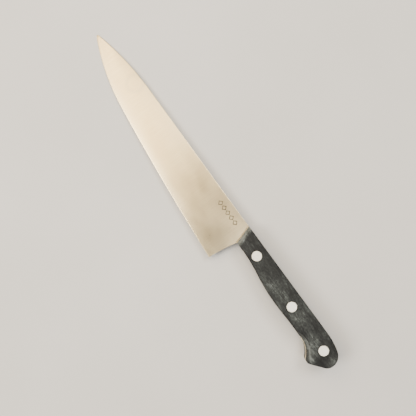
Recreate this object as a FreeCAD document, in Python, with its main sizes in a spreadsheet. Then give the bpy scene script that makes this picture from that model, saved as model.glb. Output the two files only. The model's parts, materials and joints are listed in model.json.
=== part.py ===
"""A chef's knife with a full tang, two riveted handle scales and three two-part rivets.

The knife is drawn in its own plane: the origin is where the spine meets the handle, +X runs
to the butt, +Y to the spine, and Z is across the thickness, with 0 in the middle of the steel.
Every piece then takes one shared placement that lays the knife down at rest on a table.
"""

import FreeCAD, Part
import Sketcher
import itertools
import math
import os

# name, value in millimetres or degrees, what it is
DIMENSIONS = (
    ("blade_length", 200.0, "from the heel corner to the point"),
    ("heel_reach", 1.3, "how far behind the front of the handle the heel corner lies"),
    ("heel_depth", 40.3, "from the spine to the heel corner"),
    ("choil_radius", 150.0, "hollow of the upright end of the blade, under the handle"),
    ("heel_radius", 2500.0, "radius of the long, nearly straight stretch of the edge"),
    ("belly_run", 58.7, "from the point back to where the edge starts to sweep up"),
    ("belly_start", 26.6, "from the spine to the edge where it starts to sweep up"),
    ("point_run", 61.7, "from the point back to where the spine starts to fall"),
    ("point_radius", 250.0, "radius of the fall of the spine"),
    ("tip_radius", 1.0, "rounding of the point"),
    ("steel_thickness", 2.5, "tang and spine at the handle"),
    ("tip_thickness", 1.5, "spine at the point"),
    ("edge_thickness", 0.44, "behind the cutting edge, at the heel"),
    ("edge_land", 0.06, "the cutting edge itself"),
    ("bevel_angle", 75.0, "slope of the cutting bevel, from upright"),
    ("handle_length", 125.2, "from the front of the handle to the butt"),
    ("front_slant", 4.8, "how far the front of the handle leans back"),
    ("front_depth", 15.3, "depth of the handle at its front"),
    ("front_run", 7.2, "straight stretch of the underside behind the front"),
    ("grip_share", 0.62, "place of the palm swell along the grip"),
    ("swell_depth", 19.2, "depth of the handle at the palm swell"),
    ("waist_share", 0.88, "place of the waist along the grip"),
    ("waist_depth", 18.4, "depth of the handle at its waist"),
    ("hollow_run", 16.5, "length of the hollow in front of the beak"),
    ("beak_inset", 13.5, "from the butt to the beak"),
    ("beak_depth", 27.0, "depth of the handle at the beak"),
    ("beak_radius", 2.2, "rounding of the beak"),
    ("back_rise", 0.6, "how much the back of the handle rises to the rear"),
    ("crown_run", 23.3, "from the butt to where the back starts to fall"),
    ("butt_drop", 11.5, "depth of the rearmost point of the butt"),
    ("butt_upper_radius", 10.4, "rounding of the butt above its rearmost point"),
    ("butt_lower_radius", 7.4, "rounding of the butt below its rearmost point"),
    ("scale_thickness", 7.4, "one handle scale"),
    ("flat_top", 3.2, "depth where the flat side of a scale starts"),
    ("flat_margin", 1.9, "from the lower end of the flat side to the front underside"),
    ("side_radius", 30.0, "rounding of a scale's side beyond its flat"),
    ("rim_radius", 1.5, "rounding of a scale's outer rim"),
    ("head_diameter", 8.3, "rivet heads"),
    ("head_height", 2.6, "rivet heads"),
    ("tube_diameter", 5.0, "outside of the tubular half of a rivet"),
    ("pin_diameter", 3.2, "solid half of a rivet, a press fit in the tube"),
    ("tang_clearance", 0.2, "on the diameter, round the rivets in the tang"),
    ("tube_gap", 0.6, "from the end of the tube to the opposite head"),
    ("floor_thickness", 0.8, "of the tube under its bore"),
    ("pin_gap", 0.4, "from the end of the pin to the floor of the bore"),
    ("front_rivet_inset", 22.0, "front rivet, from the front of the handle"),
    ("front_rivet_depth", 8.9, "front rivet, from the spine"),
    ("middle_rivet_share", 0.556, "place of the middle rivet along the handle"),
    ("middle_rivet_depth", 10.0, "middle rivet, from the spine"),
    ("rear_rivet_inset", 14.1, "rear rivet, from the butt"),
    ("rear_rivet_depth", 10.0, "rear rivet, from the spine"),
    ("steel_density", 7.85, "grams per cubic centimetre"),
    ("wood_density", 0.6, "grams per cubic centimetre"),
    ("aluminium_density", 2.7, "grams per cubic centimetre"),
)

ROOM = 5.0  # how far cutting shapes reach past what they cut
NEAR = 0.001  # closer than this is the same place
START, END, CENTRE = 1, 2, 3  # the points of a sketch's piece
ORIGIN = (-1, 1)  # a sketch's own origin, as one of its points

# Where the drawing of some arcs starts off. Their neighbours then settle them.
UPPER_BUTT_TURN = math.radians(75)
LOWER_BUTT_TURN = math.radians(52)
POINT_TURN = math.radians(25)
BACK_FALL_GUESS = "Size.crown_run * 2.6"
BELLY_GUESS = "Size.belly_run * 3.2"

HALF_STEEL = "Size.steel_thickness / 2"
OUTER = "(Size.steel_thickness / 2 + Size.scale_thickness)"  # flat side of a scale
SEAT = f"({OUTER} - Size.head_height)"  # underside of a rivet head
BORE_FLOOR = f"(-{SEAT} + Size.floor_thickness)"
HEAD_RADIUS = "Size.head_diameter / 2"
TUBE_RADIUS = "Size.tube_diameter / 2"
PIN_RADIUS = "Size.pin_diameter / 2"
TUBE_END = f"{SEAT} - Size.tube_gap"
PIN_END = f"{BORE_FLOOR} + Size.pin_gap"
BEAK = ("Size.handle_length - Size.beak_inset", "-Size.beak_depth")
GRIP = "(Size.handle_length - Size.beak_inset - Size.hollow_run)"
TIP = "(Size.heel_reach - Size.blade_length)"
TIP_CENTRE = (
    f"({TIP} + Size.tip_radius)",
    "(sqrt((Size.point_radius - Size.tip_radius)^2 - (Size.point_run - Size.tip_radius)^2)"
    " - Size.point_radius)",
)

RIVETS = {
    "front": ("Size.front_rivet_inset", "-Size.front_rivet_depth"),
    "middle": ("Size.middle_rivet_share * Size.handle_length", "-Size.middle_rivet_depth"),
    "rear": ("Size.handle_length - Size.rear_rivet_inset", "-Size.rear_rivet_depth"),
}

# Radius and height round the rivet's axis, from its head to its end.
SOCKET = (
    ("0", f"-{OUTER}"),
    (HEAD_RADIUS, f"-{OUTER}"),
    (HEAD_RADIUS, f"-{SEAT}"),
    (TUBE_RADIUS, f"-{SEAT}"),
    (TUBE_RADIUS, TUBE_END),
    (PIN_RADIUS, TUBE_END),
    (PIN_RADIUS, BORE_FLOOR),
    ("0", BORE_FLOOR),
)
PIN = (
    ("0", OUTER),
    (HEAD_RADIUS, OUTER),
    (HEAD_RADIUS, SEAT),
    (PIN_RADIUS, SEAT),
    (PIN_RADIUS, PIN_END),
    ("0", PIN_END),
)

doc = FreeCAD.newDocument("chef_knife")


def make_sheet():
    """The driving dimensions, one row each: name, value, meaning."""
    sheet = doc.addObject("Spreadsheet::Sheet", "Size")
    for row, (name, size, meaning) in enumerate(DIMENSIONS, start=1):
        sheet.set(f"A{row}", name)
        sheet.set(f"B{row}", str(size))
        sheet.set(f"C{row}", meaning)
        sheet.setAlias(f"B{row}", name)
    doc.recompute()


def make_gauge():
    """A single number that takes an expression, to read what it comes to."""
    made = doc.addObject("App::FeaturePython", "Gauge")
    made.addProperty("App::PropertyFloat", "Reading")
    return made


make_sheet()
gauge = make_gauge()


def value(expression):
    """What an expression comes to with the sizes in the sheet."""
    gauge.setExpression("Reading", expression)
    gauge.recompute()
    return gauge.Reading


def point(x, y):
    return FreeCAD.Vector(value(x), value(y), 0)


def new_body(name):
    body = doc.addObject("PartDesign::Body", name)
    body.Label = name
    return body


def origin_plane(body, role):
    return next(plane for plane in body.Origin.OriginFeatures if plane.Role == role)


def new_sketch(body, name, support=None, height="0"):
    """A sketch on one of the body's planes, at a height above it."""
    sketch = body.newObject("Sketcher::SketchObject", name)
    sketch.AttachmentSupport = [(support or origin_plane(body, "XY_Plane"), "")]
    sketch.MapMode = "FlatFace"
    if height != "0":
        sketch.setExpression("AttachmentOffset.Base.z", height)
    return sketch


def drive(sketch, constraint, expression):
    """Adds a constraint whose size is an expression of the sheet."""
    index = sketch.addConstraint(constraint)
    sketch.setExpression(f"Constraints[{index}]", expression)


def pin(sketch, piece, place, x=None, y=None):
    """Holds a point of a sketch at a distance from the origin along X, Y or both."""
    at = sketch.getPoint(piece, place)
    if x is not None:
        drive(sketch, Sketcher.Constraint("DistanceX", *ORIGIN, piece, place, at.x), x)
    if y is not None:
        drive(sketch, Sketcher.Constraint("DistanceY", *ORIGIN, piece, place, at.y), y)


class Outline:
    """A closed chain of lines and arcs, each joined to the one before it as it is drawn."""

    def __init__(self, sketch, start=None, along_x=False):
        """Starts at the origin, or at a point held there along both axes or along X only."""
        self.sketch = sketch
        self.start = start
        self.along_x = along_x
        self.first = None
        self.last = None
        self.here = point(*start) if start else FreeCAD.Vector()

    def _add(self, geometry, backwards, end, smooth):
        piece = self.sketch.addGeometry(geometry)
        head, tail = (END, START) if backwards else (START, END)
        if self.last is None:
            self.first = (piece, head)
            if self.along_x:
                pin(self.sketch, piece, head, x=self.start[0])
            elif self.start:
                pin(self.sketch, piece, head, *self.start)
            else:
                self.sketch.addConstraint(Sketcher.Constraint("Coincident", piece, head, *ORIGIN))
        else:
            kind = "Tangent" if smooth else "Coincident"
            self.sketch.addConstraint(Sketcher.Constraint(kind, *self.last, piece, head))
        self.last = (piece, tail)
        self.here = end
        return piece

    def line(self, x, y, smooth=False, held=True):
        """A line to a point, which is held there unless its neighbours hold it."""
        end = point(x, y)
        piece = self._add(Part.LineSegment(self.here, end), False, end, smooth)
        if held:
            pin(self.sketch, piece, END, x, y)
        return piece

    def arc(self, x, y, radius, clockwise, smooth=True, held=True, driven=True):
        """An arc to a point. Where it isn't driven, its neighbours settle its radius."""
        end = point(x, y)
        chord = end - self.here
        size = value(radius)
        side = FreeCAD.Vector(chord.y, -chord.x, 0).normalize() * (-1 if clockwise else 1)
        rise = size - math.sqrt(size**2 - chord.Length**2 / 4)
        middle = (self.here + end) * 0.5 + side * rise
        if clockwise:
            geometry = Part.Arc(end, middle, self.here)
        else:
            geometry = Part.Arc(self.here, middle, end)
        piece = self._add(geometry, clockwise, end, smooth)
        if driven:
            drive(self.sketch, Sketcher.Constraint("Radius", piece, size), radius)
        if held:
            pin(self.sketch, *self.last, x, y)
        return piece

    def wave(self, x, y, down):
        """Two equal arcs that leave and arrive along X, to a point."""
        run = abs(value(x) - self.here.x) / 2
        fall = abs(value(y) - self.here.y) / 2
        radius = str((run**2 + fall**2) / (2 * fall))
        middle = (self.here + point(x, y)) * 0.5
        first = self.arc(str(middle.x), str(middle.y), radius, not down, held=False, driven=False)
        second = self.arc(x, y, radius, down, driven=False)
        self.sketch.addConstraint(Sketcher.Constraint("Equal", first, second))
        return second

    def close(self):
        self.sketch.addConstraint(Sketcher.Constraint("Coincident", *self.last, *self.first))


def polygon(sketch, corners):
    """A closed outline of straight lines through corners given as expressions."""
    outline = Outline(sketch, corners[0])
    for corner in corners[1:]:
        outline.line(*corner)
    outline.line(*corners[0], held=False)
    outline.close()


def handle_outline(outline):
    """Back, butt, beak and underside of the handle, from the origin to the front underside."""
    sketch = outline.sketch
    butt = "Size.handle_length"
    outline.line("Size.handle_length - Size.crown_run", "Size.back_rise")
    outline.arc(
        f"{butt} - Size.butt_upper_radius * {1 - math.cos(UPPER_BUTT_TURN)}",
        f"-Size.butt_drop + Size.butt_upper_radius * {math.sin(UPPER_BUTT_TURN)}",
        BACK_FALL_GUESS,
        clockwise=True,
        held=False,
        driven=False,
    )
    upper = outline.arc(butt, "-Size.butt_drop", "Size.butt_upper_radius", clockwise=True)
    sketch.addConstraint(Sketcher.Constraint("Horizontal", upper, CENTRE, *outline.last))
    outline.arc(
        f"{butt} - Size.butt_lower_radius * {1 - math.cos(LOWER_BUTT_TURN)}",
        f"-Size.butt_drop - Size.butt_lower_radius * {math.sin(LOWER_BUTT_TURN)}",
        "Size.butt_lower_radius",
        clockwise=True,
        held=False,
    )
    outline.line(*BEAK, smooth=True)
    run, fall = value("Size.hollow_run"), value("Size.beak_depth - Size.waist_depth")
    outline.arc(
        GRIP,
        "-Size.waist_depth",
        str((run**2 + fall**2) / (2 * fall)),
        clockwise=False,
        smooth=False,
        driven=False,
    )
    outline.line(f"{GRIP} * Size.waist_share", "-Size.waist_depth", smooth=True, held=False)
    pin(sketch, *outline.last, x=f"{GRIP} * Size.waist_share")
    pin(sketch, *outline.last, y="-Size.waist_depth")
    swell = outline.wave(f"{GRIP} * Size.grip_share", "-Size.swell_depth", down=True)
    sketch.addConstraint(Sketcher.Constraint("Vertical", swell, CENTRE, *outline.last))
    outline.wave("Size.front_slant + Size.front_run", "-Size.front_depth", down=False)
    outline.line("Size.front_slant", "-Size.front_depth", smooth=True)


def edge(outline, smooth):
    """The cutting edge from the heel corner, and the rounding of the point that settles its sweep."""
    outline.arc(
        f"{TIP} + Size.belly_run", "-Size.belly_start", "Size.heel_radius", clockwise=True, smooth=smooth
    )
    centre = point(*TIP_CENTRE)
    radius = value("Size.tip_radius")
    below = centre - FreeCAD.Vector(math.sin(POINT_TURN), math.cos(POINT_TURN), 0) * radius
    above = centre + FreeCAD.Vector(-math.sin(POINT_TURN), math.cos(POINT_TURN), 0) * radius
    outline.arc(str(below.x), str(below.y), BELLY_GUESS, clockwise=True, held=False, driven=False)
    edge_end = outline.last, outline.here
    rounding = outline.arc(
        str(above.x), str(above.y), "Size.tip_radius", clockwise=True, held=False
    )
    pin(outline.sketch, rounding, CENTRE, *TIP_CENTRE)
    return edge_end, rounding


def blade_outline(outline):
    """Heel, edge, point and spine, from the handle's front underside back to the origin."""
    outline.arc(
        "Size.heel_reach", "-Size.heel_depth", "Size.choil_radius", clockwise=False, smooth=False
    )
    edge(outline, smooth=False)
    outline.arc(f"{TIP} + Size.point_run", "0", "Size.point_radius", clockwise=True, driven=False)
    outline.line("0", "0", smooth=True, held=False)
    outline.close()


def edge_names(feature, wanted):
    """The names of a feature's edges that a test picks out."""
    return [f"Edge{i}" for i, line in enumerate(feature.Shape.Edges, start=1) if wanted(line)]


def add(body, kind, name, **settings):
    """A feature of a body. A setting given as text is an expression of the sheet."""
    feature = body.newObject(f"PartDesign::{kind}", name)
    for setting, content in settings.items():
        if isinstance(content, str) and setting not in ("Type", "SideType"):
            feature.setExpression(setting, content)
        else:
            setattr(feature, setting, content)
    return feature


def circles(sketch, diameter):
    """One circle at each rivet."""
    for x, y in RIVETS.values():
        centre = point(x, y)
        piece = sketch.addGeometry(Part.Circle(centre, FreeCAD.Vector(0, 0, 1), value(diameter) / 2))
        drive(sketch, Sketcher.Constraint("Diameter", piece, value(diameter)), diameter)
        pin(sketch, piece, CENTRE, x, y)


def round_beak(body, base):
    """Rounds the upright edge of the beak."""
    beak = point(*BEAK)
    doc.recompute()
    names = edge_names(base, lambda line: all(
        math.hypot(end.X - beak.x, end.Y - beak.y) < NEAR for end in line.Vertexes
    ))
    return add(body, "Fillet", "beak_rounding", Base=(base, names), Radius="Size.beak_radius")


def turned_about(x, y, z):
    """A placement turned about an axis by one degree, which an expression then replaces."""
    return FreeCAD.Placement(FreeCAD.Vector(), FreeCAD.Rotation(FreeCAD.Vector(x, y, z), 1))


def make_blade():
    """Blade and tang: one piece of steel, ground to a wedge ahead of the handle."""
    body = new_body("blade")
    silhouette = new_sketch(body, "silhouette")
    outline = Outline(silhouette)
    handle_outline(outline)
    blade_outline(outline)
    blank = add(
        body, "Pad", "blank", Profile=silhouette, SideType="Symmetric", Length="Size.steel_thickness"
    )
    beak = round_beak(body, blank)
    holes = new_sketch(body, "rivet_holes")
    circles(holes, "Size.tube_diameter + Size.tang_clearance")
    add(body, "Pocket", "tang_holes", Profile=holes, SideType="Symmetric", Type="ThroughAll")

    # The side of the blade is one flat, which falls to the edge and to the point.
    taper = body.newObject("PartDesign::Plane", "taper_plane")
    taper.AttachmentSupport = [(origin_plane(body, "XY_Plane"), "")]
    taper.MapMode = "FlatFace"
    taper.AttachmentOffset = turned_about(0, 1, 0)
    taper.setExpression("AttachmentOffset.Base.z", HALF_STEEL)
    taper.setExpression(
        "AttachmentOffset.Rotation.Angle",
        "-atan((Size.steel_thickness - Size.tip_thickness) / 2 / Size.blade_length)",
    )
    grind = body.newObject("PartDesign::Plane", "grind_plane")
    grind.AttachmentSupport = [(taper, "")]
    grind.MapMode = "FlatFace"
    grind.AttachmentOffset = turned_about(1, 0, 0)
    grind.setExpression(
        "AttachmentOffset.Rotation.Angle",
        "atan((Size.steel_thickness - Size.edge_thickness) / 2 / Size.heel_depth)",
    )
    side = new_sketch(body, "side", support=grind)
    left, low = f"{TIP} - {ROOM}", f"-(Size.heel_depth + {ROOM})"
    lean = "Size.front_slant / Size.front_depth"
    polygon(side, (
        (f"-{lean} * {ROOM}", f"{ROOM}"),
        (left, f"{ROOM}"),
        (left, low),
        (f"-{lean} * ({low})", low),
    ))
    flat = add(body, "Pocket", "side_grind", Profile=side, Length=f"{ROOM}", Reversed=True)

    bevel = new_sketch(body, "bevel", height="Size.edge_land / 2")
    right = f"Size.heel_reach + {ROOM}"
    outline = Outline(bevel, (right, "-Size.heel_depth"), along_x=True)
    outline.line("Size.heel_reach", "-Size.heel_depth")
    edge_end, rounding = edge(outline, smooth=True)
    bevel.setConstruction(rounding, True)
    bevel.addConstraint(Sketcher.Constraint("Vertical", rounding, START, rounding, CENTRE))
    outline.last, outline.here = edge_end
    outline.line(left, f"{TIP_CENTRE[1]} + {ROOM} / 2", smooth=True, held=False)
    pin(bevel, *outline.last, x=left)
    outline.line(left, low)
    outline.line(right, low)
    outline.line(right, "-Size.heel_depth", held=False)
    outline.close()
    sharpen = add(
        body, "Pocket", "cutting_bevel",
        Profile=bevel, Length=HALF_STEEL, TaperAngle="Size.bevel_angle", Reversed=True,
    )
    doc.recompute()
    both = body.newObject("PartDesign::Mirrored", "other_side")
    both.Originals = [flat, sharpen]
    both.MirrorPlane = (origin_plane(body, "XY_Plane"), [""])
    body.Tip = both
    return body


def is_wall(face):
    """Whether a face of a scale is upright, as its outline is."""
    low_u, high_u, low_v, high_v = face.ParameterRange
    return abs(face.normalAt((low_u + high_u) / 2, (low_v + high_v) / 2).z) < NEAR


def make_scale(name, side):
    """One handle scale, on the side of the steel that side gives: 1 up, -1 down."""
    body = new_body(name)
    profile = new_sketch(body, "profile", height=f"{side} * {HALF_STEEL}")
    outline = Outline(profile)
    handle_outline(outline)
    outline.line("0", "0", held=False)
    outline.close()
    slab = add(
        body, "Pad", "slab", Profile=profile, Length="Size.scale_thickness", Reversed=side < 0
    )
    last = round_beak(body, slab)

    # The side is flat along the middle and rounds away to the back and to the underside.
    flat_low = "Size.flat_margin - Size.front_depth"
    for part, start, way in (("underside", flat_low, -1), ("back", "-Size.flat_top", 1)):
        fall = new_sketch(body, f"{part}_fall", support=origin_plane(body, "YZ_Plane"))
        away = f"{start} + {way} * Size.side_radius"
        top, low = f"{side} * {OUTER}", f"{side} * ({OUTER} - Size.side_radius)"
        above = f"{side} * ({OUTER} + {ROOM})"
        outline = Outline(fall, (start, top))
        outline.arc(away, low, "Size.side_radius", clockwise=way * side > 0, smooth=False)
        outline.line(away, above)
        outline.line(start, above)
        outline.line(start, top, held=False)
        outline.close()
        last = add(
            body, "Pocket", f"{part}_rounding", Profile=fall, Type="ThroughAll", Reversed=True
        )
    doc.recompute()
    rim = edge_names(last, lambda line: sorted(
        is_wall(face) for face in last.Shape.ancestorsOfType(line, Part.Face)
    ) == [False, True] and abs(line.CenterOfMass.z) > value(HALF_STEEL) + NEAR)
    add(body, "Fillet", "rim_rounding", Base=(last, rim), Radius="Size.rim_radius")

    holes = new_sketch(body, "rivet_holes")
    circles(holes, "Size.tube_diameter")
    add(body, "Pocket", "tube_holes", Profile=holes, SideType="Symmetric", Type="ThroughAll")
    seats = new_sketch(body, "head_seats", height=f"{side} * {SEAT}")
    circles(seats, "Size.head_diameter")
    add(body, "Pocket", "seats", Profile=seats, Type="ThroughAll", Reversed=side > 0)
    return body


def make_rivet_half(name, corners):
    """Half of a rivet, turned about its own axis from a section of radius and height."""
    body = new_body(name)
    section = new_sketch(body, "section", support=origin_plane(body, "XZ_Plane"))
    polygon(section, corners)
    turned = body.newObject("PartDesign::Revolution", "turned")
    turned.Profile = section
    turned.ReferenceAxis = (section, ["V_Axis"])
    turned.Angle = 360
    return body


def balance_point(pieces):
    """Where the whole knife balances."""
    masses = [piece.Shape.Volume * value(density) for piece, density in pieces]
    moments = [piece.Shape.Solids[0].CenterOfMass * mass for (piece, _), mass in zip(pieces, masses)]
    return sum(moments, FreeCAD.Vector()) / sum(masses)


def table_under(balance, trio):
    """Height, corner and upward normal of a plane through three corners that carry the balance point."""
    sides = zip(trio, trio[1:] + trio[:1])
    turns = [(after - before).cross(balance - before).z for before, after in sides]
    first, second, third = trio
    normal = (second - first).cross(third - first)
    if min(turns) < 0 < max(turns) or abs(normal.z) < NEAR:
        return None
    normal = normal / normal.z
    offset = balance - first
    return first.z - normal.x * offset.x - normal.y * offset.y, first, normal


def resting_placement(pieces):
    """Lays the knife on its right side, on the three corners that carry its balance point."""
    balance = balance_point(pieces)
    corners = [
        vertex.Point for piece, _ in pieces for vertex in piece.Shape.Vertexes if vertex.Z < 0
    ]
    tables = (table_under(balance, trio) for trio in itertools.combinations(corners, 3))
    _, touching, normal = min(filter(None, tables), key=lambda table: table[0])
    turn = FreeCAD.Placement(FreeCAD.Vector(), FreeCAD.Rotation(normal, FreeCAD.Vector(0, 0, 1)))
    whole = Part.makeCompound([piece.Shape for piece, _ in pieces]).transformed(turn.toMatrix())
    centre = whole.optimalBoundingBox(False, False).Center
    table = turn.multVec(touching).z
    return FreeCAD.Placement(FreeCAD.Vector(-centre.x, -centre.y, -table), turn.Rotation)


def check(pieces):
    """Stops unless every object recomputed, every sketch is held and every piece is sound."""
    for item in doc.Objects:
        if {"Invalid", "Error"} & set(item.State):
            raise RuntimeError(f"{item.Label} failed: {item.State}")
        if item.isDerivedFrom("Sketcher::SketchObject") and not item.FullyConstrained:
            raise RuntimeError(f"{item.Label} is not held by its constraints")
    for piece in pieces:
        if piece.Shape.isNull() or not piece.Shape.isValid() or len(piece.Shape.Solids) != 1:
            raise RuntimeError(f"{piece.Label} is not one sound solid")


def main():
    made = [(make_blade(), "Size.steel_density")]
    for name, side in (("left_scale", 1), ("right_scale", -1)):
        made.append((make_scale(name, side), "Size.wood_density"))
    for place, station in RIVETS.items():
        for name, corners in (("socket", SOCKET), ("pin", PIN)):
            half = make_rivet_half(f"{place}_rivet_{name}", corners)
            half.Placement = FreeCAD.Placement(point(*station), FreeCAD.Rotation())
            made.append((half, "Size.aluminium_density"))
    pieces = [piece for piece, _ in made]
    doc.recompute()
    check(pieces)
    rest = resting_placement(made)
    for piece in pieces:
        piece.Placement = rest.multiply(piece.Placement)
    doc.recompute()
    check(pieces)
    os.makedirs("parts", exist_ok=True)
    for piece in pieces:
        piece.Shape.exportStep(os.path.join("parts", f"{piece.Label}.step"))
        print(f"{piece.Label}: {piece.Shape.Volume:.1f} cubic mm")
    print(f"balances {balance_point(made)}, placed {rest}")


main()
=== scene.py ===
import json
import math

import bpy
from mathutils import Matrix, Vector


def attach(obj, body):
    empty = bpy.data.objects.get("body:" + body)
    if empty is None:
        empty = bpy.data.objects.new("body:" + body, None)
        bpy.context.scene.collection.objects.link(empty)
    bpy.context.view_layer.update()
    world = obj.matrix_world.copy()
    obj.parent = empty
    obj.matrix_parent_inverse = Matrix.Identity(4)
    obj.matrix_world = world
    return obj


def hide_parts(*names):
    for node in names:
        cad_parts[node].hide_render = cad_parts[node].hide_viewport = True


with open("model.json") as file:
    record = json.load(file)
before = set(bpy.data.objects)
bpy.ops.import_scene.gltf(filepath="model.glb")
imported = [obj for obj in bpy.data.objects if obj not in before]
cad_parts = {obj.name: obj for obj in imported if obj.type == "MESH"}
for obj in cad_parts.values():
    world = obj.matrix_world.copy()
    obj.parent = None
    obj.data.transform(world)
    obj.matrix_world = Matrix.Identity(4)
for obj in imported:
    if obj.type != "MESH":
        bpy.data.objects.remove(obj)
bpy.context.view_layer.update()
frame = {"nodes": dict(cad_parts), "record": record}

# Kitchen knife with a full tang. Its pieces are made lying flat, in millimetres, and then laid down
# as the knife rests: on its point and on the front of the right scale.
# In the flat knife's own plane X runs to the butt, Y to the spine and Z out of its left side, from the
# corner where the spine meets the handle, half way through the steel.

MM = 0.001

# ---- sizes, in millimetres --------------------------------------------------------------------------
BLADE_LENGTH = 198.7
BACK_RISE = 0.6
BACK_FALL_FROM = -137.0
BACK_FALL_RADIUS = 250.0
TANG_HALF = 1.25
# The outside of the scales and of the rivet heads, and the seat under a head, from the middle of the
# steel.
OUTSIDE = 8.65
SEAT = 6.05
TUBE_END = 5.45
BORE_FLOOR = -5.25
PIN_END = -4.85
HEAD_RADIUS = 4.15
TUBE_RADIUS = 2.5
PIN_RADIUS = 1.6
TANG_HOLE_RADIUS = 2.6
RIVETS = {"front": (22, -8.9), "middle": (69.611, -10), "rear": (111.1, -10)}

# An outline is a start and then its corners. Each has None where a straight line leads to it, the
# centre where an arc does, or SMOOTH where an arc carries on from the stretch before.
SMOOTH = "smooth"
FRONT_TOP = (0, 0)
FRONT_BOTTOM = (4.8, -15.3)
FRONT_OUT = (-0.9542, -0.2993, 0)
HANDLE = (
    ((101.9, BACK_RISE), None),
    ((117.566, -1.475), SMOOTH),
    ((125.2, -11.5), SMOOTH),
    ((122.765, -16.987), SMOOTH),
    ((113.447, -25.419), None),
    ((110.319, -25.24), SMOOTH),
    ((95.2, -18.4), SMOOTH),
    ((83.776, -18.4), None),
    ((71.4, -18.8), SMOOTH),
    ((59.024, -19.2), SMOOTH),
    ((35.512, -17.25), SMOOTH),
    ((12, -15.3), SMOOTH),
    (FRONT_BOTTOM, None),
    (FRONT_TOP, None),
)
HEEL = (1.3, -40.3)
# The point is rounded about this place.
POINT_MIDDLE = (-197.7, -8.512)
CUTTING_EDGE = (
    ((-140, -26.6), (171.813, 2453.88)),
    ((-198.135, -9.412), SMOOTH),
    ((-198.698, -8.5), POINT_MIDDLE),
)
# The blade reaches a little way into the tang, so that the two become one piece of steel.
BLADE = (
    ((2.2, -1.0), None),
    ((6.5, -13.5), None),
    (FRONT_BOTTOM, None),
    (HEEL, (151.074, -48.524)),
    *CUTTING_EDGE,
    ((-197.944, -7.542), POINT_MIDDLE),
    ((BACK_FALL_FROM, 0), (BACK_FALL_FROM, -BACK_FALL_RADIUS)),
    (FRONT_TOP, None),
)


# ---- working in the flat ----------------------------------------------------------------------------
def start(primitive, name, **settings):
    """Adds a primitive on its own and opens it in edit mode, all selected."""
    bpy.ops.object.select_all(action="DESELECT")
    primitive(**settings)
    bpy.ops.object.transform_apply(location=True, rotation=True, scale=True)
    piece = bpy.context.object
    piece.name = name
    bpy.ops.object.mode_set(mode="EDIT")
    bpy.ops.mesh.select_mode(type="VERT")
    bpy.ops.mesh.select_all(action="SELECT")
    return piece


def walk(begin, outline):
    """Each stretch of an outline: where it starts and ends, and its centre where it is an arc."""
    here, heading = begin, None
    for there, centre in outline:
        run = (there[0] - here[0], there[1] - here[1])
        if centre == SMOOTH:
            across = heading[0] * run[1] - heading[1] * run[0]
            radius = (run[0] ** 2 + run[1] ** 2) / (2 * across)
            centre = (here[0] - heading[1] * radius, here[1] + heading[0] * radius)
        # The heading where the stretch ends, one long, the way that the run goes.
        heading = run if centre is None else (centre[1] - there[1], there[0] - centre[0])
        length = math.copysign(math.hypot(*heading), heading[0] * run[0] + heading[1] * run[1])
        heading = (heading[0] / length, heading[1] / length)
        yield here, there, centre
        here = there


def sweep(here, there, centre, pitch):
    """Where an arc starts, in radians, the angle it turns and its steps, each about one pitch long."""
    first = math.atan2(here[1] - centre[1], here[0] - centre[0])
    last = math.atan2(there[1] - centre[1], there[0] - centre[0])
    angle = (last - first + math.pi) % math.tau - math.pi
    return first, angle, max(2, round(abs(angle) * math.dist(here, centre) / pitch))


def cut_out(name, begin, outline, half, pitch):
    """Draws an outline point by point, fills it and pulls it up into a plate."""
    piece = start(bpy.ops.mesh.primitive_plane_add, name, size=1, location=(*begin, -half))
    bpy.ops.mesh.merge(type="CENTER")
    for here, there, centre in walk(begin, outline):
        if centre is None:
            step = (there[0] - here[0], there[1] - here[1], 0)
            bpy.ops.mesh.extrude_vertices_move(TRANSFORM_OT_translate={"value": step})
        else:
            _, angle, steps = sweep(here, there, centre, pitch)
            bpy.ops.mesh.spin(steps=steps, angle=angle, center=(*centre, -half), axis=(0, 0, -1))
    bpy.ops.mesh.select_all(action="SELECT")
    bpy.ops.mesh.remove_doubles(threshold=0.02)
    bpy.ops.mesh.edge_face_add()
    bpy.ops.mesh.extrude_region_move(TRANSFORM_OT_translate={"value": (0, 0, 2 * half)})
    bpy.ops.mesh.select_all(action="SELECT")
    bpy.ops.mesh.normals_make_consistent(inside=False)
    return piece


def plane_off(point, outwards):
    """Takes away everything outside a plane, and closes the cut."""
    bpy.ops.mesh.select_all(action="SELECT")
    bpy.ops.mesh.bisect(
        plane_co=point, plane_no=outwards, use_fill=True, clear_outer=True, threshold=0.0005
    )


def finish_editing(piece, smooth_below):
    """Closes the mesh, leaves edit mode and smooths the edges that bend less than so many degrees."""
    bpy.ops.mesh.select_all(action="SELECT")
    bpy.ops.mesh.remove_doubles(threshold=0.002)
    bpy.ops.mesh.normals_make_consistent(inside=False)
    bpy.ops.object.mode_set(mode="OBJECT")
    bpy.ops.object.shade_smooth_by_angle(angle=math.radians(smooth_below))


def work_on(piece):
    """Leaves only this piece selected."""
    bpy.ops.object.select_all(action="DESELECT")
    piece.select_set(True)
    bpy.context.view_layer.objects.active = piece


def apply(piece, kind, **settings):
    """Adds a modifier and applies it."""
    work_on(piece)
    added = piece.modifiers.new(kind, kind)
    for name, value in settings.items():
        setattr(added, name, value)
    bpy.ops.object.modifier_apply(modifier=added.name)


def combine(piece, other, operation):
    """Joins the other piece on, or cuts it out, and does away with it."""
    bpy.ops.object.mode_set(mode="OBJECT")
    apply(piece, "BOOLEAN", operation=operation, object=other, solver="EXACT")
    bpy.data.objects.remove(other)


def bore(piece, radius, low, high):
    """Drills a hole or a seat at each rivet."""
    for x, y in RIVETS.values():
        drill = start(
            bpy.ops.mesh.primitive_cylinder_add,
            "drill",
            vertices=64,
            radius=radius,
            depth=high - low,
            location=(x, y, (high + low) / 2),
        )
        combine(piece, drill, "DIFFERENCE")


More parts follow.
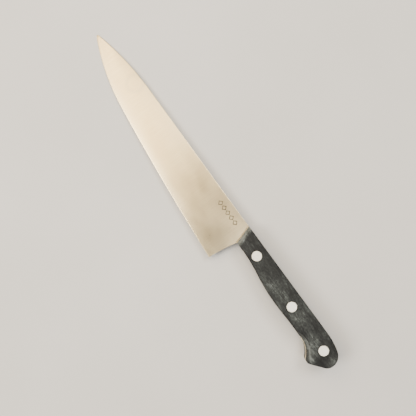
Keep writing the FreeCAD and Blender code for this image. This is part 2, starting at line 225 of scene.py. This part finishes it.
def edges_where(piece, test):
    """Selects the edges whose two ends pass the test."""
    bpy.ops.mesh.select_all(action="DESELECT")
    bpy.ops.object.mode_set(mode="OBJECT")
    vertices = piece.data.vertices
    for edge in piece.data.edges:
        edge.select = test(*(vertices[i].co for i in edge.vertices))
    bpy.ops.object.mode_set(mode="EDIT")
    bpy.ops.mesh.select_mode(type="EDGE")


def copy_of(piece, name):
    """A copy with its own mesh."""
    copied = piece.copy()
    copied.data = piece.data.copy()
    copied.name = name
    bpy.context.scene.collection.objects.link(copied)
    return copied


# ---- laying the knife down --------------------------------------------------------------------------
def resting_place():
    """From the flat knife in millimetres to where the frame has it in metres."""
    mounts = {mount["name"]: mount for mount in frame["record"]["mounts"]}
    left = -Vector(mounts["handle_right_side"]["axis"])
    turn = Vector((0, 0, 1)).rotation_difference(left).to_matrix()
    flat = [turn.transposed() @ v.co for v in frame["nodes"]["blade"].data.vertices]
    lows = [min(p[i] for p in flat) for i in range(3)]
    highs = [max(p[i] for p in flat) for i in range(3)]
    corner = Vector((lows[0] + BLADE_LENGTH * MM, highs[1] - BACK_RISE * MM, (lows[2] + highs[2]) / 2))
    return Matrix.Translation(turn @ corner) @ turn.to_4x4() @ Matrix.Scale(MM, 4)


RESTING = resting_place()


def lay_down(piece, node_name, material):
    """Puts a flat piece where the CAD node lies, in its place."""
    work_on(piece)
    piece.matrix_world = RESTING
    bpy.ops.object.transform_apply(location=True, rotation=True, scale=True)
    piece.data.materials.clear()
    piece.data.materials.append(material)
    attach(piece, "root")
    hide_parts(node_name)


# ---- materials --------------------------------------------------------------------------------------
def paint(colour):
    """A hex sRGB colour as the linear one that the shaders work in."""
    parts = [int(colour[i : i + 2], 16) / 255 for i in (1, 3, 5)]
    linear = [p / 12.92 if p <= 0.04045 else ((p + 0.055) / 1.055) ** 2.4 for p in parts]
    return (*linear, 1)


def new_material(name):
    material = bpy.data.materials.new(name)
    material.use_nodes = True
    material.node_tree.nodes.clear()
    return material


def node(material, kind, inputs, stops=(), **settings):
    """Adds a node with its settings, its ramp stops, and the link or the value of each input."""
    tree = material.node_tree
    made = tree.nodes.new(kind)
    for name, setting in settings.items():
        setattr(made, name, setting)
    for name, given in inputs.items():
        if isinstance(given, bpy.types.NodeSocket):
            tree.links.new(given, made.inputs[name])
        else:
            made.inputs[name].default_value = given
    for number, (place, colour) in enumerate(stops):
        elements = made.color_ramp.elements
        stop = elements[number] if number < 2 else elements.new(place)
        stop.position = place
        stop.color = paint(colour)
    return made.outputs


# The sockets of a Mix node for colours: the share, the colour below, the one above and the result.
SHARE, BELOW, ABOVE, MIXED = 0, 6, 7, 2


def flat_place(material):
    """Object coordinates turned back into the flat knife's plane, in millimetres."""
    inputs = {
        "Vector": node(material, "ShaderNodeTexCoord", {})["Object"],
        "Location": RESTING.translation,
        "Rotation": RESTING.to_euler(),
        "Scale": (MM, MM, MM),
    }
    return node(material, "ShaderNodeMapping", inputs, vector_type="TEXTURE")["Vector"]


ETCHED_MIDDLE = (-18.75, -7.2, 0)
ETCHED_HALF_LENGTH = 12.25
DIAMOND_PITCH = 4.9
DIAMOND_REACH = 1.9
ETCHED_LINE = 0.38
# The etched lines are this much rougher than the steel.
ETCHED_ROUGHER = 0.25
# Larger than the knife, so that the chain repeats only along the blade.
NO_REPEAT = 500


def etched_border(steel, place):
    """A plain chain of small open diamonds, etched near the handle: 1 on the lines and 0 elsewhere."""
    cell = (DIAMOND_PITCH / 2, NO_REPEAT, NO_REPEAT)
    inputs = {0: place, 1: ETCHED_MIDDLE}
    moved = node(steel, "ShaderNodeVectorMath", inputs, operation="SUBTRACT")["Vector"]
    inputs = {0: moved, 1: cell, 2: [-size for size in cell]}
    repeated = node(steel, "ShaderNodeVectorMath", inputs, operation="WRAP")["Vector"]
    folded = node(steel, "ShaderNodeVectorMath", {0: repeated}, operation="ABSOLUTE")["Vector"]
    inputs = {0: folded, 1: (1, 1, 0)}
    from_centre = node(steel, "ShaderNodeVectorMath", inputs, operation="DOT_PRODUCT")["Value"]
    inputs = {0: from_centre, 1: DIAMOND_REACH, 2: ETCHED_LINE}
    drawn = node(steel, "ShaderNodeMath", inputs, operation="COMPARE")["Value"]
    along = node(steel, "ShaderNodeSeparateXYZ", {"Vector": moved})["X"]
    inputs = {0: along, 1: 0.0, 2: ETCHED_HALF_LENGTH}
    within = node(steel, "ShaderNodeMath", inputs, operation="COMPARE")["Value"]
    return node(steel, "ShaderNodeMath", {0: drawn, 1: within}, operation="MULTIPLY")["Value"]


WATER_MARK = (-148, -6.5, 0)
WATER_MARK_RADIUS = 7.0
STEEL_PATTERNS = (
    # Belt lines 0.35 mm apart, coarser than the real 0.05 mm ones, and 25 mm long across the blade.
    ((0.35, 25, 25), 3, 0.6),
    # Haze left by wiping, in patches about 38 mm by 20 mm.
    ((38, 20, 38), 4, 0.5),
)


def satin_steel():
    """Stainless blade steel, ground on a belt and satin polished: fine lines across the blade, a soft
    beige sheen, and the faint marks that water and hands leave on a used blade."""
    steel = new_material("satin_ground_stainless_steel")
    place = flat_place(steel)
    patterns = []
    for grain, detail, crumble in STEEL_PATTERNS:
        inputs = {"Vector": place, "Scale": [1 / length for length in grain]}
        scaled = node(steel, "ShaderNodeMapping", inputs)["Vector"]
        inputs = {"Vector": scaled, "Scale": 1.0, "Detail": detail, "Roughness": crumble}
        patterns.append(node(steel, "ShaderNodeTexNoise", inputs)["Fac"])
    lines, patches = patterns
    haze = node(steel, "ShaderNodeValToRGB", {0: patches}, ((0.3, "#D9C9A5"), (0.7, "#E8D9B5")))["Color"]
    brushed = node(steel, "ShaderNodeValToRGB", {0: lines}, ((0.3, "#F2EEE6"), (0.7, "#FFFFFF")))["Color"]
    inputs = {SHARE: 1.0, BELOW: haze, ABOVE: brushed}
    tone = node(steel, "ShaderNodeMix", inputs, data_type="RGBA", blend_type="MULTIPLY")[MIXED]
    # The ring where a drop of water dried.
    inputs = {0: place, 1: WATER_MARK}
    from_mark = node(steel, "ShaderNodeVectorMath", inputs, operation="DISTANCE")["Value"]
    inputs = {0: from_mark, 1: WATER_MARK_RADIUS}
    from_ring = node(steel, "ShaderNodeMath", inputs, operation="SUBTRACT")["Value"]
    off_ring = node(steel, "ShaderNodeMath", {0: from_ring}, operation="ABSOLUTE")["Value"]
    inputs = {"Value": off_ring, "From Min": 0.3, "From Max": 2.5, "To Min": 0.28, "To Max": 0.0}
    dried = node(steel, "ShaderNodeMapRange", inputs)["Result"]
    inputs = {SHARE: dried, BELOW: tone, ABOVE: paint("#B3AA98")}
    marked = node(steel, "ShaderNodeMix", inputs, data_type="RGBA")[MIXED]
    etched = etched_border(steel, place)
    inputs = {SHARE: etched, BELOW: marked, ABOVE: paint("#4E483C")}
    colour = node(steel, "ShaderNodeMix", inputs, data_type="RGBA")[MIXED]
    inputs = {"Value": patches, "From Min": 0.3, "From Max": 0.7, "To Min": 0.27, "To Max": 0.35}
    polish = node(steel, "ShaderNodeMapRange", inputs)["Result"]
    inputs = {0: etched, 1: ETCHED_ROUGHER, 2: polish}
    rough = node(steel, "ShaderNodeMath", inputs, operation="MULTIPLY_ADD")["Value"]
    inputs = {"Height": lines, "Strength": 0.1, "Distance": 0.02 * MM}
    relief = node(steel, "ShaderNodeBump", inputs)["Normal"]
    inputs = {"Base Color": colour, "Metallic": 1.0, "Roughness": rough, "Normal": relief}
    shader = node(steel, "ShaderNodeBsdfPrincipled", inputs)["BSDF"]
    node(steel, "ShaderNodeOutputMaterial", {"Surface": shader})
    return steel


WOOD_PATTERNS = (
    # Fibres 0.9 mm wide and 9 mm long, coarser than the real 0.1 mm ones.
    ((9, 0.9, 1.2), 5, 0.65),
    # Scuffs where the hand and the bench rub, about 16 mm by 8 mm, with a crumbled edge.
    ((16, 8, 9), 6, 0.65),
    # Specks of bare fibre, between 1 and 2 mm across.
    ((1.9, 1.2, 1.4), 4, 0.7),
    # Pores 0.45 mm wide and 3 mm long, about twice the real ones.
    ((3.0, 0.45, 0.6), 2, 0.5),
)
# How much the fibres, the scuffs and the specks each tell in how worn the wood is.
WEAR_SHARES = (0.25, 0.42, 0.33)
# Where a hand rubs the stain thin on the left scale, and where the lower side and the beak's flank
# are painted paler as painted light where the key light falls: the middle of the place, its reach
# and how much.
RUBBED_AND_PAINTED_LIGHT = (
    (10, -12, 12, 0.02),
    (54, -16, 26, 0.09),
    (100, -14, 12, 0.11),
    (82, -5, 17, 0.10),
    (30, -16, 14, 0.04),
    (124, -9, 9, 0.11),
    (110, -19, 7, 0.10),
)
# The eased front is painted paler, a painted light for the light that falls on it, and the rims
# get a painted highlight over their wear: from where, in millimetres along FRONT_OUT and from the
# middle of the steel, to where it is full, and how much.
FRONT_PAINTED_LIGHT = (-4.5, -2.6, 0.12)
RIM_PAINTED_HIGHLIGHT = (8.15, 7.5, 0.08)
# How far the open pores sink, as a share of the range from whole stain to bare fibre.
PORE_DROP = -0.4
# The stain from where it is whole to where it is worn through to grey fibre; the painted light
# moves the colour along it too.
STAIN = ((0.38, "#0A0B0C"), (0.46, "#141719"), (0.54, "#26292B"), (0.62, "#3D4243"), (0.74, "#717879"))


def stained_wood():
    """Hardwood stained black, matt from washing and handling: its raised fibres and its scuffs run the
    length of the handle and show grey, its rims carry a painted highlight over their wear, its eased
    front is painted paler as painted light, and its lower side and flank get painted light among the
    rubbed places. Its pores stay dark."""
    wood = new_material("black_stained_hardwood")
    place = flat_place(wood)
    patterns = []
    for grain, detail, crumble in WOOD_PATTERNS:
        inputs = {"Vector": place, "Scale": [1 / length for length in grain]}
        scaled = node(wood, "ShaderNodeMapping", inputs)["Vector"]
        inputs = {"Vector": scaled, "Scale": 1.0, "Detail": detail, "Roughness": crumble}
        patterns.append(node(wood, "ShaderNodeTexNoise", inputs)["Fac"])
    fibres, scuffs, specks, pores = patterns
    together = node(wood, "ShaderNodeCombineXYZ", {"X": fibres, "Y": scuffs, "Z": specks})["Vector"]
    inputs = {0: together, 1: WEAR_SHARES}
    wear_and_painted_light = node(wood, "ShaderNodeVectorMath", inputs, operation="DOT_PRODUCT")["Value"]

    # Each rubbed place and each place of painted light: what is measured, where it starts, where it is
    # full, and how much.
    rubs_and_painted_light = []
    for x, y, reach, share in RUBBED_AND_PAINTED_LIGHT:
        inputs = {0: place, 1: (x, y, OUTSIDE)}
        away = node(wood, "ShaderNodeVectorMath", inputs, operation="DISTANCE")["Value"]
        rubs_and_painted_light.append((away, reach, reach * 0.2, share))
    # The eased front gets painted light, and the rims a painted highlight.
    inputs = {0: place, 1: FRONT_OUT}
    from_front = node(wood, "ShaderNodeVectorMath", inputs, operation="DOT_PRODUCT")["Value"]
    rubs_and_painted_light.append((from_front, *FRONT_PAINTED_LIGHT))
    either_side = node(wood, "ShaderNodeVectorMath", {0: place}, operation="ABSOLUTE")["Vector"]
    from_steel = node(wood, "ShaderNodeSeparateXYZ", {"Vector": either_side})["Z"]
    rubs_and_painted_light.append((from_steel, *RIM_PAINTED_HIGHLIGHT))
    # Each place adds its rubbing and its painted light to the wear, which makes the stain paler.
    for measured, starts, full, share in rubs_and_painted_light:
        inputs = {"Value": measured, "From Min": starts, "From Max": full, "To Max": share}
        rub_and_painted_light = node(wood, "ShaderNodeMapRange", inputs, interpolation_type="SMOOTHSTEP")["Result"]
        wear_and_painted_light = node(wood, "ShaderNodeMath", {0: wear_and_painted_light, 1: rub_and_painted_light}, operation="ADD")["Value"]

    stain = node(wood, "ShaderNodeValToRGB", {0: wear_and_painted_light}, STAIN)["Color"]
    inputs = {"Value": pores, "From Min": 0.6, "From Max": 0.68, "To Max": 0.8}
    open_pores = node(wood, "ShaderNodeMapRange", inputs)["Result"]
    inputs = {SHARE: open_pores, BELOW: stain, ABOVE: paint("#121314")}
    colour = node(wood, "ShaderNodeMix", inputs, data_type="RGBA")[MIXED]
    inputs = {"Value": wear_and_painted_light, "From Min": 0.38, "From Max": 0.7, "To Min": 0.6, "To Max": 0.8}
    rough = node(wood, "ShaderNodeMapRange", inputs)["Result"]
    inputs = {0: open_pores, 1: PORE_DROP, 2: wear_and_painted_light}
    height = node(wood, "ShaderNodeMath", inputs, operation="MULTIPLY_ADD")["Value"]
    inputs = {"Height": height, "Strength": 0.5, "Distance": 0.3 * MM}
    relief = node(wood, "ShaderNodeBump", inputs)["Normal"]
    inputs = {"Base Color": colour, "Roughness": rough, "Normal": relief, "Specular IOR Level": 0.3}
    shader = node(wood, "ShaderNodeBsdfPrincipled", inputs)["BSDF"]
    node(wood, "ShaderNodeOutputMaterial", {"Surface": shader})
    return wood


def sanded_aluminium():
    """Aluminium rivet, sanded flush with the wood and left satin: bright and nearly white, with short
    fine scratches."""
    metal = new_material("sanded_aluminium")
    # Scratches 0.3 mm wide and 3 mm long, coarser than the real 0.02 mm ones.
    inputs = {"Vector": flat_place(metal), "Scale": (1 / 3, 1 / 0.3, 1)}
    scaled = node(metal, "ShaderNodeMapping", inputs)["Vector"]
    inputs = {"Vector": scaled, "Scale": 1.0, "Detail": 3, "Roughness": 0.6}
    scratches = node(metal, "ShaderNodeTexNoise", inputs)["Fac"]
    stops = ((0.3, "#E9E3D3"), (0.7, "#FCF8EC"))
    colour = node(metal, "ShaderNodeValToRGB", {0: scratches}, stops)["Color"]
    inputs = {"Height": scratches, "Strength": 0.12, "Distance": 0.03 * MM}
    relief = node(metal, "ShaderNodeBump", inputs)["Normal"]
    inputs = {"Base Color": colour, "Metallic": 1.0, "Roughness": 0.42, "Normal": relief}
    shader = node(metal, "ShaderNodeBsdfPrincipled", inputs)["BSDF"]
    node(metal, "ShaderNodeOutputMaterial", {"Surface": shader})
    return metal


# ---- the blade --------------------------------------------------------------------------------------
BLANK_HALF = 1.4
# How much thinner each face gets for each millimetre to the point and to the edge.
FALL_TO_POINT = 0.0025
FALL_TO_EDGE = 0.02556
BEVEL_ANGLE = math.radians(15)
EDGE_HALF = 0.03
BACK_EASE = 0.5


def grind_faces():
    """Grinds both faces thinner towards the edge and a little towards the point."""
    for side in (1, -1):
        plane_off((0, 0, side * TANG_HALF), (-FALL_TO_POINT, -FALL_TO_EDGE, side))


def sharpen(pitch):
    """Grinds the edge bevel on both sides, one short flat after another along the edge."""
    lean, rise = math.sin(BEVEL_ANGLE), math.cos(BEVEL_ANGLE)
    for here, there, centre in walk(HEEL, CUTTING_EDGE):
        first, angle, steps = sweep(here, there, centre, pitch)
        radius = math.dist(here, centre)
        for step in range(steps):
            along = first + angle * (step + 0.5) / steps
            x, y = math.cos(along), math.sin(along)
            for side in (1, -1):
                edge = (centre[0] + radius * x, centre[1] + radius * y, side * EDGE_HALF)
                plane_off(edge, (x * lean, y * lean, side * rise))


def on_back(corner):
    """True for a corner of the back, which runs straight and then drops to the point on a wide arc."""
    run = max(0, BACK_FALL_FROM - corner.x)
    back = math.sqrt(BACK_FALL_RADIUS**2 - run**2) - BACK_FALL_RADIUS
    beside_middle = abs(corner.z) > 0.3
    before_handle = corner.x < 0.01
    return beside_middle and before_handle and corner.y > back - 0.05


def make_blade():
    blade = cut_out("chef_blade", FRONT_TOP, BLADE, BLANK_HALF, pitch=2.5)
    grind_faces()
    sharpen(pitch=4)
    # The corners of the back are eased so that they don't bite into the hand.
    edges_where(blade, lambda a, b: on_back(a) and on_back(b) and a.z * b.z > 0)
    bpy.ops.mesh.bevel(offset=BACK_EASE, segments=3, profile=0.5, affect="EDGES")
    finish_editing(blade, smooth_below=30)
    tang = cut_out("tang", FRONT_TOP, HANDLE, TANG_HALF, pitch=1.0)
    finish_editing(tang, smooth_below=30)
    combine(blade, tang, "UNION")
    bore(blade, TANG_HOLE_RADIUS, -2 * TANG_HALF, 2 * TANG_HALF)
    bpy.ops.object.shade_smooth_by_angle(angle=math.radians(20))
    return blade


# ---- the handle -------------------------------------------------------------------------------------
# The drum that eases the hollow: its middle, the heights of its ends and its radius at each.
EASED_AT = (96, -33.9)
EASED_FROM, EASED_TO = 1.25, 12
EASED_RADIUS_LOW, EASED_RADIUS_HIGH = 15.6, 20.0
# The front of each scale leans back above this height, so that the fingers meet no corner.
FRONT_EASED_FROM = 4.4
FRONT_LEAN = 0.87
FRONT_RISE = 0.49
# The side of a scale is flat between these depths, and falls away on a wide round beyond them.
FLAT_TOP, FLAT_BOTTOM = -3.2, -13.4
SIDE_RADIUS = 30.0
SIDE_STEP = math.radians(2.2)


def ease_hollow(form):
    """Opens the left rim of the hollow in front of the beak with a tapered drum, as a finger wears it."""
    drum = start(
        bpy.ops.mesh.primitive_cone_add,
        "drum",
        vertices=160,
        radius1=EASED_RADIUS_LOW,
        radius2=EASED_RADIUS_HIGH,
        depth=EASED_TO - EASED_FROM,
        location=(*EASED_AT, (EASED_FROM + EASED_TO) / 2),
    )
    combine(form, drum, "DIFFERENCE")


def make_handle_form():
    """Both scales in one: the outline, with its sides and front shaped and its rims worn round."""
    form = cut_out("handle_form", FRONT_TOP, HANDLE, OUTSIDE, pitch=1.0)
    for side in (1, -1):
        leaning = (FRONT_OUT[0] * FRONT_LEAN, FRONT_OUT[1] * FRONT_LEAN, side * FRONT_RISE)
        plane_off((0, 0, side * FRONT_EASED_FROM), leaning)
        for flat_end, direction, turns in ((FLAT_TOP, 1, 4), (FLAT_BOTTOM, -1, 13)):
            for turn in range(turns):
                angle = SIDE_STEP * (turn + 0.5)
                y, z = direction * math.sin(angle), math.cos(angle)
                touching = (0, flat_end + SIDE_RADIUS * y, side * (OUTSIDE - SIDE_RADIUS * (1 - z)))
                plane_off(touching, (0, y, side * z))
    finish_editing(form, smooth_below=30)
    ease_hollow(form)
    # A fine even mesh, smoothed until its rims are as round as hands wear them.
    apply(form, "REMESH", mode="VOXEL", voxel_size=0.4)
    apply(form, "SMOOTH", factor=0.5, iterations=14)
    return form


def make_scale(form, name, side):
    """Saws one scale off the form, along the face of the tang, and counterbores it for the rivets."""
    scale = copy_of(form, name)
    work_on(scale)
    bpy.ops.object.mode_set(mode="EDIT")
    plane_off((0, 0, side * TANG_HALF), (0, 0, -side))
    finish_editing(scale, smooth_below=40)
    bore(scale, HEAD_RADIUS, *sorted((side * SEAT, side * (OUTSIDE + 3))))
    bore(scale, TUBE_RADIUS, *sorted((side * (TANG_HALF - 0.25), side * (SEAT + 0.5))))
    bpy.ops.object.shade_smooth_by_angle(angle=math.radians(40))
    return scale


# ---- the rivets -------------------------------------------------------------------------------------
HEAD_EASE = 0.25
SOCKET = (
    (0, -OUTSIDE),
    (HEAD_RADIUS - HEAD_EASE, -OUTSIDE),
    (HEAD_RADIUS, -OUTSIDE + HEAD_EASE),
    (HEAD_RADIUS, -SEAT),
    (TUBE_RADIUS, -SEAT),
    (TUBE_RADIUS, TUBE_END),
    (PIN_RADIUS, TUBE_END),
    (PIN_RADIUS, BORE_FLOOR),
    (0, BORE_FLOOR),
)
PIN = (
    (0, OUTSIDE),
    (HEAD_RADIUS - HEAD_EASE, OUTSIDE),
    (HEAD_RADIUS, OUTSIDE - HEAD_EASE),
    (HEAD_RADIUS, SEAT),
    (PIN_RADIUS, SEAT),
    (PIN_RADIUS, PIN_END),
    (0, PIN_END),
)


def turn_on_lathe(name, profile):
    """Draws half a section, radius and height, and turns it about the rivet's axis."""
    radius, height = profile[0]
    piece = start(bpy.ops.mesh.primitive_plane_add, name, size=1, location=(radius, 0, height))
    bpy.ops.mesh.merge(type="CENTER")
    for here, there in zip(profile, profile[1:]):
        step = (there[0] - here[0], 0, there[1] - here[1])
        bpy.ops.mesh.extrude_vertices_move(TRANSFORM_OT_translate={"value": step})
    bpy.ops.mesh.select_all(action="SELECT")
    bpy.ops.mesh.spin(steps=64, angle=math.tau, center=(0, 0, 0), axis=(0, 0, 1))
    finish_editing(piece, smooth_below=35)
    return piece


# ---- putting the knife together ---------------------------------------------------------------------
lay_down(make_blade(), "blade", satin_steel())

WOOD = stained_wood()
form = make_handle_form()
for name, side in (("left_scale", 1), ("right_scale", -1)):
    lay_down(make_scale(form, "wood_" + name, side), name, WOOD)
bpy.data.objects.remove(form)

ALUMINIUM = sanded_aluminium()
for half, profile in (("rivet_socket", SOCKET), ("rivet_pin", PIN)):
    turned = turn_on_lathe(half, profile)
    for position, (x, y) in RIVETS.items():
        name = f"{position}_{half}"
        rivet = copy_of(turned, "turned_" + name)
        rivet.data.transform(Matrix.Translation((x, y, 0)))
        lay_down(rivet, name, ALUMINIUM)
    bpy.data.objects.remove(turned)


# ---- the studio, in metres --------------------------------------------------------------------------
FLOOR_SIZE = 4
# Just clear of the pieces that rest on it.
FLOOR_HEIGHT = -0.00001
# Name, place, size across, power in watts and colour of each softbox.
LIGHTS = (
    ("key_light", (-0.42, -0.72, 1.0), 0.5, 13, "#FFF6E6"),
    ("overhead_light", (-0.77, -0.06, 1.15), 1.0, 20, "#FFE8C2"),
    ("handle_light", (0.38, 0.05, 1.2), 0.35, 4, "#FFFDF8"),
    ("back_light", (-0.2, 0.65, 1.1), 0.5, 9, "#FFFAF0"),
)
AROUND = "#F4F2EE"
AROUND_STRENGTH = 0.25
# The camera looks straight down on this point of the flat knife, a little ahead of the heel.
LOOKED_AT = (-31.14, -17.82, 0)
CAMERA_HEIGHT = 0.380
CAMERA_TURN = math.radians(54.11)


def pale_floor():
    """Matt off-white board, with the faint unevenness of a painted surface."""
    board = new_material("matt_painted_board")
    where = node(board, "ShaderNodeTexCoord", {})["Object"]
    # Clouds of tone about 170 mm across.
    cloud = node(board, "ShaderNodeTexNoise", {"Vector": where, "Scale": 6.0, "Detail": 3.0})["Fac"]
    colour = node(board, "ShaderNodeValToRGB", {0: cloud}, ((0.3, "#D8D8D8"), (0.7, "#E1E1E2")))["Color"]
    shader = node(board, "ShaderNodeBsdfPrincipled", {"Base Color": colour, "Roughness": 0.85})["BSDF"]
    node(board, "ShaderNodeOutputMaterial", {"Surface": shader})
    return board


bpy.ops.object.select_all(action="DESELECT")
bpy.ops.mesh.primitive_plane_add(size=FLOOR_SIZE, location=(0, 0, FLOOR_HEIGHT))
floor = bpy.context.object
floor.name = "floor"
floor.data.materials.append(pale_floor())

for name, place, size, power, colour in LIGHTS:
    bpy.ops.object.light_add(type="AREA", location=place)
    lamp = bpy.context.object
    lamp.name = name
    lamp.data.size = size
    lamp.data.energy = power
    lamp.data.color = paint(colour)[:3]
    lamp.rotation_euler = (-Vector(place)).to_track_quat("-Z", "Y").to_euler()

world = bpy.data.worlds.new("studio")
bpy.context.scene.world = world
world.use_nodes = True
around = world.node_tree.nodes["Background"].inputs
around["Color"].default_value = paint(AROUND)
around["Strength"].default_value = AROUND_STRENGTH

x, y, _ = RESTING @ Vector(LOOKED_AT)
bpy.ops.object.camera_add(location=(x, y, CAMERA_HEIGHT), rotation=(0, 0, CAMERA_TURN))
camera = bpy.context.object
camera.data.lens = 40.2
camera.data.sensor_width = 36
camera.data.clip_start = 0.01
camera.data.clip_end = 20
bpy.context.scene.camera = camera
